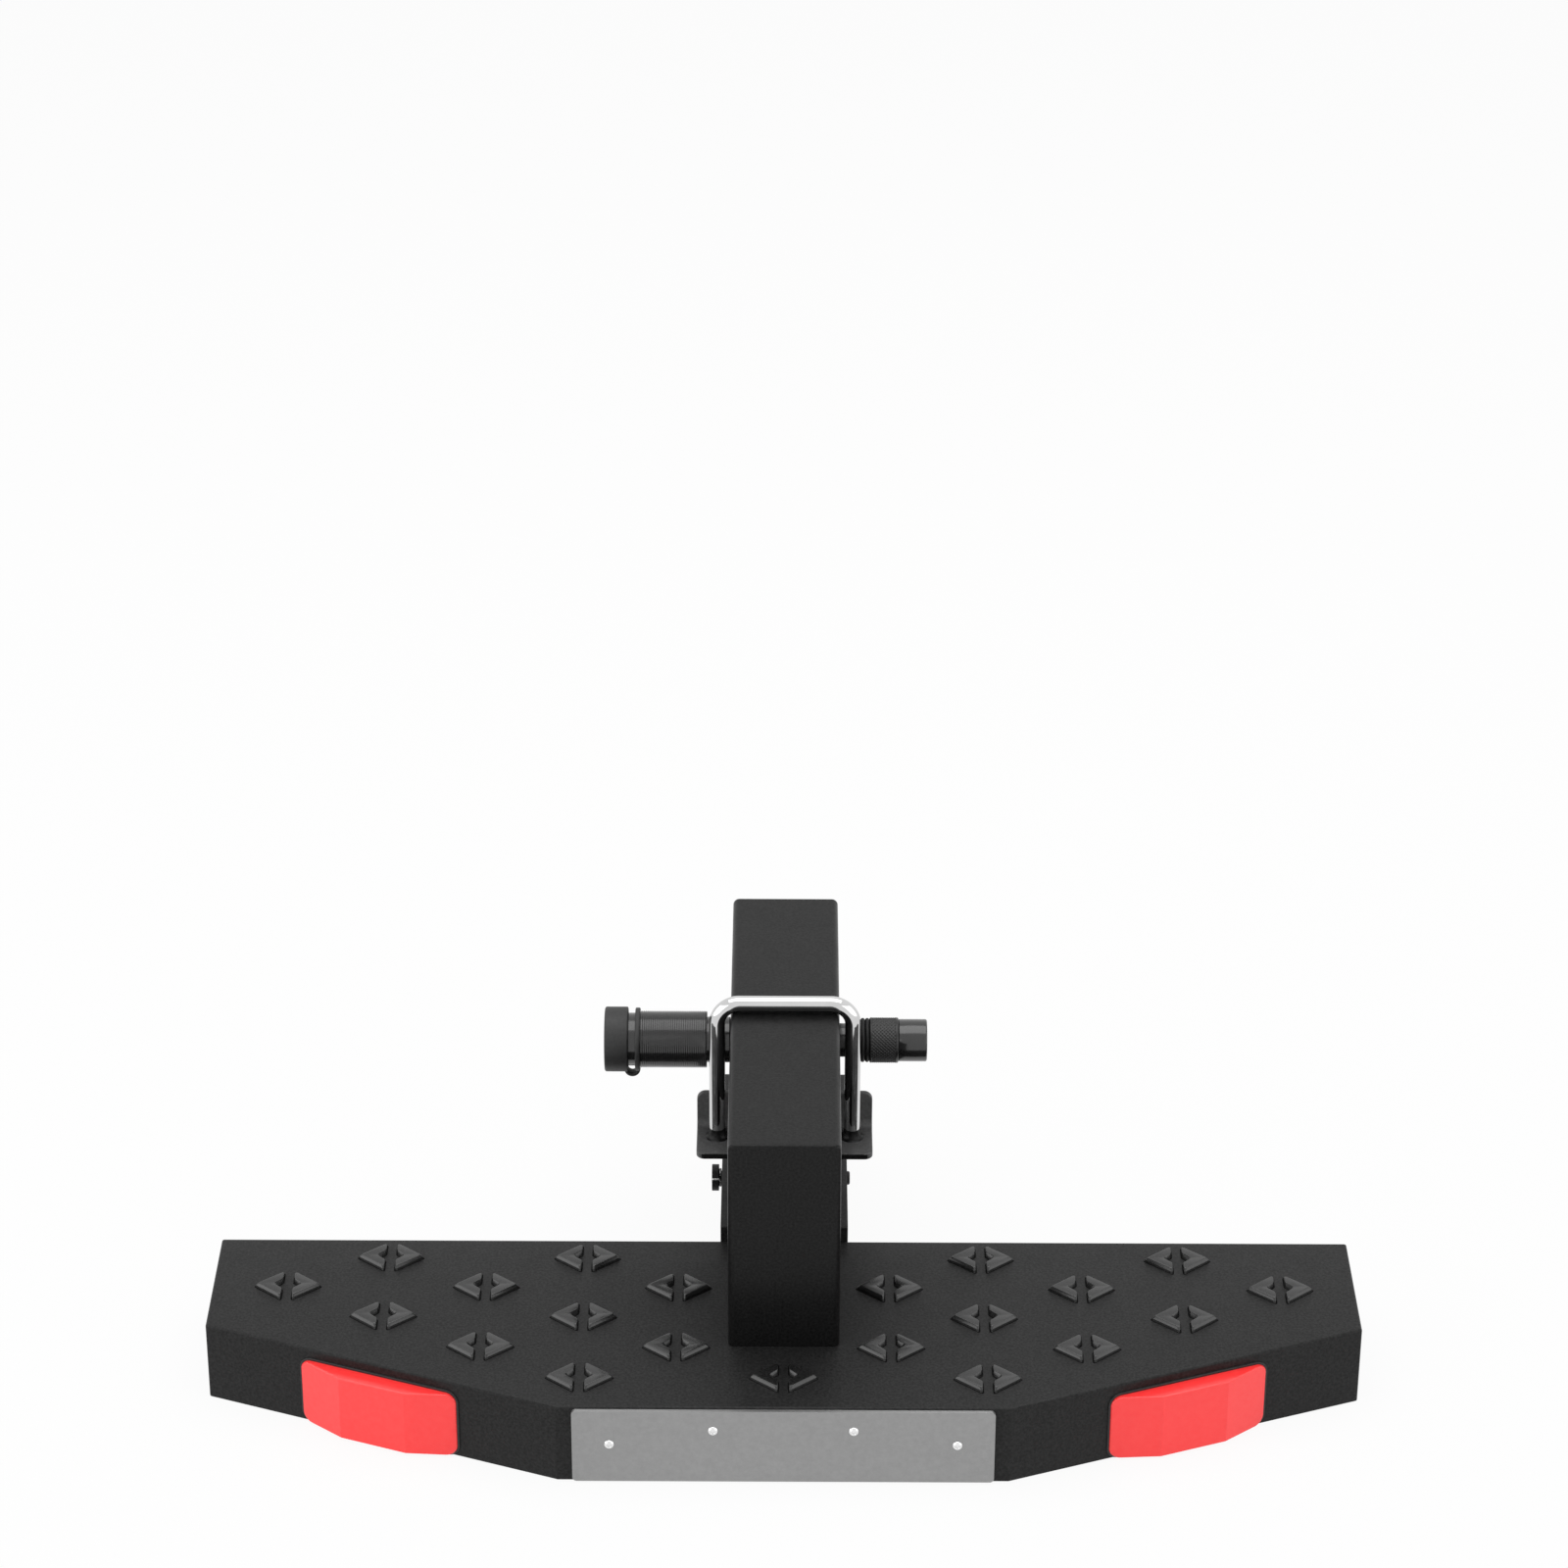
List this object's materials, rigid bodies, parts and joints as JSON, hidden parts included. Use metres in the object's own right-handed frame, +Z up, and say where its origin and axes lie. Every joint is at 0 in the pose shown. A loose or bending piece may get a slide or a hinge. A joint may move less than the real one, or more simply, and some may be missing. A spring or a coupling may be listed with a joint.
{
  "type": "hitch step",
  "caption": "Step pan on a square drop arm and receiver shank, with tread pattern, face plate, red reflectors, clamp and locking pin.",
  "frame": {"origin": "middle of the shank where the hitch-pin hole crosses it", "axes": "+X across the step, +Y along the shank towards the vehicle, +Z up"},
  "size_m": [0.53, 0.2745, 0.1558],
  "materials": {
    "powder_coat": "fine textured satin black powder coat",
    "face_silver": "satin silver",
    "rivet_metal": "bright",
    "reflector_red": "gloss red lens",
    "chrome_rod": "polished chrome",
    "zinc": "zinc plated",
    "pin_black": "satin black coated steel",
    "rubber": "matt black rubber",
    "brass": "satin brass"
  },
  "bodies": {
    "root": {"shank_tube": "powder_coat", "drop_arm": "powder_coat", "step_pan": "powder_coat", "rear_channel": "powder_coat", "face_plate": "face_silver", "face_plate_rivets": "rivet_metal", "reflector_left": "reflector_red", "reflector_right": "reflector_red"},
    "clamp": {"u_bolt": "chrome_rod", "clamp_plate": "powder_coat", "clamp_welds": "powder_coat"},
    "hitch_pin": {"hitch_pin": "pin_black", "pin_collar": "pin_black", "pin_o_rings": "rubber"},
    "lock": {"lock_body": "pin_black", "cap_strap": "rubber"},
    "lock_core": {"lock_core": "brass"},
    "dust_cap": {"dust_cap": "rubber"},
    "cross_pin": {"cross_pin": "pin_black", "cross_pin_clip": "zinc"}
  },
  "joints": [
    {"name": "clamp_slide", "type": "slide", "parent": "root", "child": "clamp", "axis": [0, -1, 0], "range_m": [0, 0.045]},
    {"name": "hitch_pin_slide", "type": "slide", "parent": "root", "child": "hitch_pin", "axis": [1, 0, 0], "range_m": [0, 0.09]},
    {"name": "lock_pull", "type": "slide", "parent": "root", "child": "lock", "axis": [-1, 0, 0], "range_m": [0, 0.036]},
    {"name": "core_turn", "type": "hinge", "parent": "lock", "child": "lock_core", "pos_m": [-0.075, 0, 0], "axis": [1, 0, 0], "range_deg": [0, 90]},
    {"name": "dust_cap_pull", "type": "slide", "parent": "lock", "child": "dust_cap", "axis": [-1, 0, 0], "range_m": [0, 0.016]},
    {"name": "cross_pin_slide", "type": "slide", "parent": "root", "child": "cross_pin", "axis": [-1, 0, 0], "range_m": [0, 0.065]}
  ]
}
